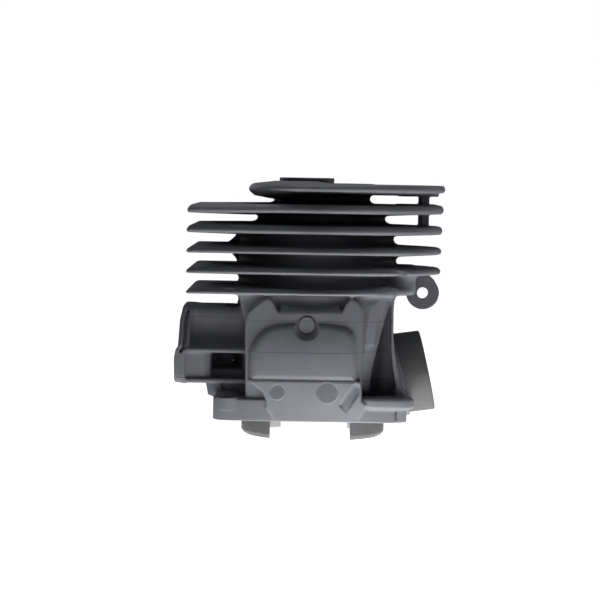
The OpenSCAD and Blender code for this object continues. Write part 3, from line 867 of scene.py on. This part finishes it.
floor_mesh = bpy.data.meshes.new("floor")
floor_z = -SKIRT_L * MM - 0.0002
floor_corners = [(-6, -6, floor_z), (6, -6, floor_z), (6, 6, floor_z), (-6, 6, floor_z)]
floor_mesh.from_pydata(floor_corners, [], [(0, 1, 2, 3)])
floor = bpy.data.objects.new("floor", floor_mesh)
bpy.context.scene.collection.objects.link(floor)
# The table glows near the object, and is plain white to the camera.
m, tree, bsdf = new_material("lit_table")
coord = tree.nodes.new("ShaderNodeTexCoord").outputs["Object"]
gradient = node(tree, "ShaderNodeMapping")
gradient.vector_type = "TEXTURE"
gradient.inputs["Location"].default_value = (0.012, -0.05, 0)
gradient.inputs["Scale"].default_value = (0.18, 0.15, 1)
tree.links.new(coord, gradient.inputs["Vector"])
glow = node(tree, "ShaderNodeTexGradient", gradient_type="QUADRATIC_SPHERE")
tree.links.new(gradient.outputs[0], glow.inputs["Vector"])
seen_white = tree.nodes.new("ShaderNodeLightPath").outputs["Is Camera Ray"]
patch = maths(tree, "MULTIPLY_ADD", glow.outputs["Fac"], 3.0, 0.08)
glow_power = maths(tree, "MAXIMUM", patch, seen_white)
tree.links.new(glow_power, bsdf.inputs["Emission Strength"])
bsdf.inputs["Emission Color"].default_value = (1, 1, 1, 1)
bsdf.inputs["Base Color"].default_value = (0.85, 0.85, 0.85, 1)
bsdf.inputs["Roughness"].default_value = 0.9
floor_mesh.materials.append(m)

# The surroundings: white behind the object, dim for its lighting, a little brighter overhead.
world = bpy.data.worlds.new("studio")
bpy.context.scene.world = world
world.use_nodes = True
wt = world.node_tree
wt.nodes.clear()
out = wt.nodes.new("ShaderNodeOutputWorld")
seen = wt.nodes.new("ShaderNodeBackground")
seen.inputs["Color"].default_value = (1, 1, 1, 1)
seen.inputs["Strength"].default_value = 1.0
around = wt.nodes.new("ShaderNodeBackground")
ray = wt.nodes.new("ShaderNodeTexCoord").outputs["Generated"]
up = wt.nodes.new("ShaderNodeSeparateXYZ")
wt.links.new(ray, up.inputs[0])
dome = wt.nodes.new("ShaderNodeValToRGB")
dome.color_ramp.elements[0].position = 0.0
dome.color_ramp.elements[0].color = (0.015, 0.017, 0.018, 1)
dome.color_ramp.elements[1].position = 0.9
dome.color_ramp.elements[1].color = (0.05, 0.053, 0.058, 1)
wt.links.new(up.outputs["Z"], dome.inputs["Fac"])
wt.links.new(dome.outputs["Color"], around.inputs["Color"])
around.inputs["Strength"].default_value = 1.0
mixer = wt.nodes.new("ShaderNodeMixShader")
wt.links.new(wt.nodes.new("ShaderNodeLightPath").outputs["Is Camera Ray"], mixer.inputs[0])
wt.links.new(around.outputs[0], mixer.inputs[1])
wt.links.new(seen.outputs[0], mixer.inputs[2])
wt.links.new(mixer.outputs[0], out.inputs["Surface"])


def area_light(name, where, target, size, power):
    """A square light aimed at a point, its size in m and its power in W."""
    data = bpy.data.lights.new(name, "AREA")
    data.size = size
    data.energy = power
    light = bpy.data.objects.new(name, data)
    bpy.context.scene.collection.objects.link(light)
    light.location = where
    light.rotation_euler = (Vector(target) - Vector(where)).to_track_quat("-Z", "Y").to_euler()


area_light("overhead", (0.1, 0.12, 0.9), (0, 0, 0.05), 0.4, 1.5)
area_light("front_high", (-0.1, -0.75, 0.45), (0, 0, 0.05), 0.4, 0.04)
area_light("rear_left", (-0.6, 0.6, 0.35), (0, 0, 0.04), 0.5, 0.9)
area_light("rear_right", (0.7, 0.35, 0.25), (0, 0, 0.04), 0.4, 0.4)

scene = bpy.context.scene
scene.view_settings.view_transform = "Standard"
# The camera stands in front of the object, a little above it, and is rolled by one degree.
camera_data = bpy.data.cameras.new("camera")
camera_data.lens = 135
camera_data.sensor_width = 36
camera = bpy.data.objects.new("camera", camera_data)
scene.collection.objects.link(camera)
eye = Vector((-0.006, -0.919, 0.097))
aim = Vector((-0.006, 0, 0.046))
ahead = (aim - eye).normalized()
right = ahead.cross(Vector((0, 0, 1))).normalized()
upward = right.cross(ahead)
roll = math.radians(1)
side_axis = right * math.cos(roll) + upward * math.sin(roll)
up_axis = upward * math.cos(roll) - right * math.sin(roll)
turn = Matrix((side_axis, up_axis, -ahead)).transposed()
camera.matrix_world = Matrix.Translation(eye) @ turn.to_4x4()
camera_data.clip_start = 0.05
scene.camera = camera
